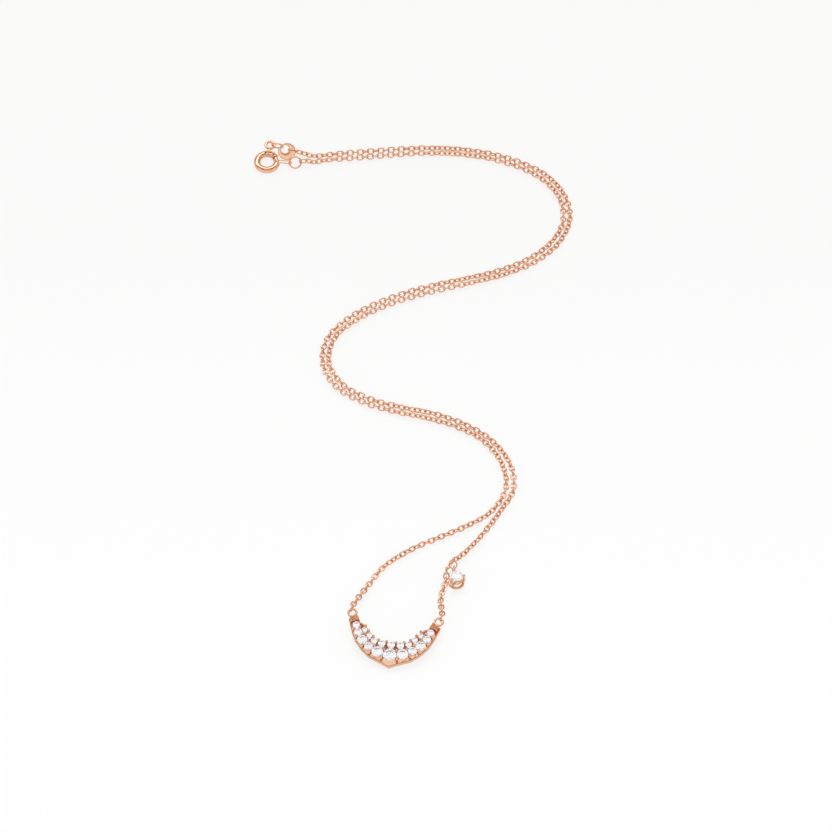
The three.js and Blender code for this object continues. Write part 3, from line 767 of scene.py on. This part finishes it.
def make_claw(node, matrix):
    """A three-legged claw: outer, middle and inner legs with beads bent over the stones."""
    corners = seen_from(matrix, node)
    radii = np.hypot(corners[:, 0], corners[:, 1])
    angle = np.arctan2(corners[:, 0], -corners[:, 1]).mean()
    thickness, top = PENDANT["claw_wire"], PENDANT["claw_top"]
    fit = PENDANT["claw_fit"] / 2
    foot = corners[:, 2].min() + fit
    outer_foot = radii.max() - fit
    outer = outer_foot - PENDANT["claw_flare"]
    inner = radii.min() + fit
    middle = 2 * PENDANT["radius"] - outer

    def at(radius, height):
        return np.array((radius * math.sin(angle), -radius * math.cos(angle), height))

    half, bend, lean = (top + foot) / 2, PENDANT["claw_bend"], PENDANT["tip_lean"]
    bow = smooth_route(
        [
            at(outer - lean, top),
            at(outer + 2 * lean, half + bend),
            at(outer_foot, foot + bend),
            at(outer_foot - bend, foot),
            at((outer_foot + inner) / 2, foot),
            at(inner + 0.25 * MM, foot),
            at(inner, foot + bend),
            at(inner, half + bend),
            at(inner + lean, top),
        ],
        CLAW_STEP,
    )
    post = [at(middle, foot), at(middle, half), at(middle + lean / 2, top)]
    bead, over = PENDANT["bead"], PENDANT["bead_lean"]
    parts = [wire(bow, thickness), wire(post, thickness)]
    for radius in (outer - over, middle + 0.05 * MM, inner + over):
        parts.append(ball(bead, at(radius, top + 0.02 * MM), PENDANT["bead_flat"]))
    parts = [placed(part, matrix) for part in parts]
    make_piece(node + "_wires", "pendant", ROSE_GOLD, parts, [node])


def soften(node, width):
    """Gives a CAD node its rounded edges and its metal, and leaves its shape."""
    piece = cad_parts[node]
    piece.data.materials.clear()
    piece.data.materials.append(ROSE_GOLD)
    bevel = piece.modifiers.new("edges", "BEVEL")
    bevel.width = width
    bevel.segments = 3
    bevel.angle_limit = 35 * TILT
    normals = piece.modifiers.new("normals", "WEIGHTED_NORMAL")
    normals.keep_sharp = True
    piece.data.polygons.foreach_set("use_smooth", [True] * len(piece.data.polygons))


def make_pendant():
    """The crescent's stones, claws, plate, wall, end blocks and loops."""
    reach = PENDANT["radius"] + PENDANT["point"]
    matrix = stand(PENDANT, reach * math.sin(PENDANT["lean"]))
    turns = random.Random(3)
    for node in sorted(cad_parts):
        if node.startswith(("stone_", "accent_stone_")):
            make_stone(node, "pendant", matrix, turns.uniform(0, math.pi / 4))
        elif node.startswith("claw_"):
            make_claw(node, matrix)
    for node, width in ROUNDED_EDGES.items():
        soften(node, width)
    for node in ("left_end_loop", "right_end_loop"):
        make_ring(node, "pendant")


make_chain()
make_pendant()


# ---- Charm ---------------------------------------------------------------------------------


def make_charm():
    """The charm's stone, basket and bail, and the jump ring that hangs it on the chain."""
    matrix = stand(CHARM, 0)
    make_stone("charm_stone", "charm", matrix, CHARM["stone_turn"])
    for node in ("charm_base_ring", "charm_seat_ring", "charm_bail"):
        make_ring(node, "charm")
    make_ring("charm_jump_ring", "charm_ring", cut=CHARM["ring_cut"], slimmer=RING_PLAY)
    make_charm_claws(matrix)


def make_charm_claws(matrix):
    """Three claws that spread from under the stone, across the base and straight up."""
    foot, top, reach = CHARM["claw_foot"], CHARM["claw_top"], CHARM["claw_reach"]
    bend = CHARM["claw_bend"]
    parts = []
    for i in range(3):
        turn = CHARM["claw_turn"] + 2 * math.pi * i / 3

        def at(across, height):
            return np.array((across * math.cos(turn), across * math.sin(turn), height))

        leg = smooth_route(
            [
                at(0, foot),
                at(reach - bend, foot),
                at(reach, foot + bend),
                at(reach + 0.02 * MM, top - 2 * bend),
                at(reach - 0.02 * MM, top),
            ],
            CLAW_STEP,
        )
        parts.append(wire(leg, CHARM["claw_wire"]))
        parts.append(ball(CHARM["bead"], at(reach - 0.05 * MM, top), CHARM["bead_flat"]))
    parts = [placed(part, matrix) for part in parts]
    make_piece("charm_claws_wire", "charm", ROSE_GOLD, parts, ["charm_claws"])


make_charm()


# ---- Clasp ---------------------------------------------------------------------------------


def clasp_tube(radius):
    """The hollow ring: a tube open at the mouth, with a slot on top for the knob."""
    tube = CLASP["tube"] / 2
    start, end = CLASP["mouth"][1], CLASP["mouth"][0] + 2 * math.pi
    steps, sides = 150, 32
    slot_half = CLASP["slot_width"] / 2 / tube
    vertices, faces = [], []
    for i in range(steps + 1):
        angle = start + (end - start) * i / steps
        for k in range(sides):
            turn = 2 * math.pi * k / sides
            out = radius + tube * math.cos(turn)
            vertices.append((out * math.cos(angle), out * math.sin(angle), tube * math.sin(turn)))
    for i in range(steps):
        angle = start + (end - start) * (i + 0.5) / steps
        in_slot = CLASP["slot"][0] < angle < CLASP["slot"][1]
        for k in range(sides):
            turn = 2 * math.pi * (k + 0.5) / sides
            if in_slot and abs(turn - math.pi / 2) < slot_half:
                continue
            m = (k + 1) % sides
            a, b = i * sides, (i + 1) * sides
            faces.append((a + k, b + k, b + m, a + m))
    return np.array(vertices), faces


def make_clasp():
    """The spring ring with its bolt, knob, coil and eyelet, and the rings beside it."""
    radius = (CLASP["outer"] - CLASP["tube"]) / 2
    matrix = stand(CLASP, radius * math.sin(CLASP["lean"]) + CLASP["tube"] / 2)
    shell = placed(clasp_tube(radius), matrix)
    tube = make_piece("clasp_tube_shell", "clasp", ROSE_GOLD, [shell], ["clasp_tube"])
    wall = tube.modifiers.new("wall", "SOLIDIFY")
    wall.thickness = CLASP["wall"]
    wall.offset = -1
    rim = tube.modifiers.new("rim", "BEVEL")
    rim.width = CLASP["rim"]
    rim.segments = 2
    rim.angle_limit = 50 * TILT

    # The bolt's round ends add half its thickness to each end of its line.
    round_end = CLASP["bolt"] / 2 / radius
    front = CLASP["mouth"][0] + CLASP["bolt_inset"]
    line = circle(radius, steps=60, start=front, end=CLASP["bolt_back"] - round_end)
    bar = wire(line, CLASP["bolt"], sides=20)
    make_piece("clasp_bolt_bar", "bolt", ROSE_GOLD, [placed(bar, matrix)], ["clasp_bolt"])

    corners = seen_from(matrix, "clasp_thumb_knob")
    low, high = corners.min(axis=0), corners.max(axis=0)
    middle = (low + high) / 2
    knob = CLASP["knob"]
    pin_foot = (middle[0], middle[1], low[2])
    button_at = (middle[0], middle[1], high[2] - knob["head"] / 2)
    pin = wire([pin_foot, button_at], knob["pin"])
    button = ball(knob["head"], button_at, knob["flat"], rings=10, sides=20)
    parts = [placed(part, matrix) for part in (pin, button)]
    make_piece("clasp_thumb_knob_turned", "bolt", ROSE_GOLD, parts, ["clasp_thumb_knob"])

    spring = CLASP["spring"]
    swing = (spring["outer"] - spring["wire"]) / 2
    first, last = CLASP["spring_span"]
    steps = spring["turns"] * spring["turn_steps"]
    coil = []
    for i in range(steps + 1):
        share = i / steps
        angle = first + (last - first) * share
        turn = 2 * math.pi * spring["turns"] * share
        out = radius + swing * math.cos(turn)
        coil.append((out * math.cos(angle), out * math.sin(angle), swing * math.sin(turn)))
    part = placed(wire(coil, spring["wire"], sides=8), matrix)
    make_piece("clasp_spring_coil", "clasp", SPRING_STEEL, [part], ["clasp_spring"])

    eyelet = CLASP["eyelet"]
    foot = CLASP["outer"] / 2 - eyelet["sunk"]
    ring_near = CLASP["outer"] / 2 + eyelet["neck"]
    way = np.array((math.cos(eyelet["at"]), math.sin(eyelet["at"]), 0))
    line = circle((eyelet["outer"] - eyelet["wire"]) / 2)
    eye, faces = wire(line, eyelet["wire"], closed=True, sides=RING_SIDES)
    eye = (eye + way * (ring_near + eyelet["outer"] / 2), faces)
    line = [way * foot, way * (ring_near + eyelet["wire"] / 2)]
    neck = wire(line, eyelet["wire"], sides=RING_SIDES)
    parts = [placed(part, matrix) for part in (eye, neck)]
    make_piece("clasp_eyelet_ring", "clasp", ROSE_GOLD, parts, ["clasp_eyelet"])

    make_ring("lower_jump_ring", "lower_ring", cut=CLASP["ring_cut"])
    make_link("eyelet_link", "eyelet_link", EYELET_LINK_WIRE)
    make_link("catch_link", "catch_link", CATCH_LINK_WIRE)


def make_tag():
    """A plain round tag with rounded edges and a hole off its middle."""
    radius, edge, half = TAG["outer"] / 2, TAG["edge"], TAG["thick"] / 2
    hole_x, hole_y, hole_size = TAG["hole"]
    steps, bends = 96, 6
    section = []
    for i in range(bends + 1):
        turn = math.pi / 2 * i / bends
        section.append((1, edge * (1 - math.sin(turn)), half - edge * (1 - math.cos(turn))))
    # The same rounded edge at the back and round the hole.
    section += [(side, inset, -height) for side, inset, height in reversed(section)]
    section += [(-1, inset, height) for side, inset, height in reversed(section)]
    vertices, faces = [], []
    for i in range(steps):
        turn = 2 * math.pi * i / steps
        way = (math.cos(turn), math.sin(turn))
        for side, inset, height in section:
            if side > 0:
                out, x, y = radius - inset, 0, 0
            else:
                out, x, y = hole_size / 2 + inset, hole_x, hole_y
            vertices.append((x + out * way[0], y + out * way[1], height))
    rows = len(section)
    for i in range(steps):
        a, b = i * rows, (i + 1) % steps * rows
        for k in range(rows):
            m = (k + 1) % rows
            faces.append((a + k, a + m, b + m, b + k))
    matrix = stand(TAG, TAG["z"])
    part = placed((np.array(vertices), faces), matrix)
    make_piece("clasp_tag_disc", "tag", ROSE_GOLD, [part], ["clasp_tag"])


make_clasp()
make_tag()


# ---- Table and light -----------------------------------------------------------------------


def make_table():
    """A wide table that stays almost white."""
    bpy.ops.mesh.primitive_plane_add(size=TABLE["size"], location=(0, 0, -TABLE["drop"]))
    table = bpy.context.object
    table.name = "table"
    material, _, shader, _ = new_material("table_top")
    shader.inputs["Base Color"].default_value = (*TABLE["tone"], 1)
    shader.inputs["Roughness"].default_value = TABLE["rough"]
    shader.inputs["Specular IOR Level"].default_value = TABLE["gloss"]
    shader.inputs["Emission Color"].default_value = (*WHITE, 1)
    shader.inputs["Emission Strength"].default_value = TABLE["glow"]
    table.data.materials.append(material)


def glow(name, colour, strength):
    """A plain light-giving material."""
    material = bpy.data.materials.new(name)
    material.use_nodes = True
    tree = material.node_tree
    tree.nodes.clear()
    emission = tree.nodes.new("ShaderNodeEmission")
    emission.inputs["Color"].default_value = (*colour, 1)
    emission.inputs["Strength"].default_value = strength
    output = tree.nodes.new("ShaderNodeOutputMaterial")
    tree.links.new(emission.outputs["Emission"], output.inputs["Surface"])
    return material


def make_card(name, azimuth, elevation, distance, size, strength, colour, seen="metal"):
    """A card round the table that only shows in polished surfaces, or only through stones."""
    bpy.ops.mesh.primitive_plane_add(size=1)
    card = bpy.context.object
    card.name = name
    turn, lift = azimuth * TILT, elevation * TILT
    way = Vector((math.sin(turn) * math.cos(lift), math.cos(turn) * math.cos(lift), math.sin(lift)))
    card.location = way * distance
    card.rotation_euler = way.to_track_quat("Z", "Y").to_euler()
    card.scale = (*size, 1)
    card.data.materials.append(glow(name, colour, strength))
    card.visible_glossy = seen == "metal"
    card.visible_transmission = seen == "stones"
    card.visible_camera = False
    card.visible_diffuse = False
    card.visible_shadow = False


def make_light():
    """A white room with panels and strips that only polished metal or stones can see."""
    world = bpy.data.worlds.new("studio")
    bpy.context.scene.world = world
    world.use_nodes = True
    background = world.node_tree.nodes["Background"]
    background.inputs["Color"].default_value = (*WHITE, 1)
    background.inputs["Strength"].default_value = ROOM_LIGHT
    bpy.context.scene.view_settings.view_transform = "Standard"
    for name, card in METAL_CARDS.items():
        make_card(name, *card)
    for azimuth in range(0, 360, 45):
        look = BRIGHT_WALL if abs(azimuth - FRONT) < FRONT_REACH else DIM_WALL
        make_card(f"wall_{azimuth}", azimuth, *WALL_PLACE, *look)
    for azimuth in range(20, 360, 45):
        make_card(f"facet_{azimuth}", azimuth, *FACET_CARD, "stones")


make_table()
make_light()
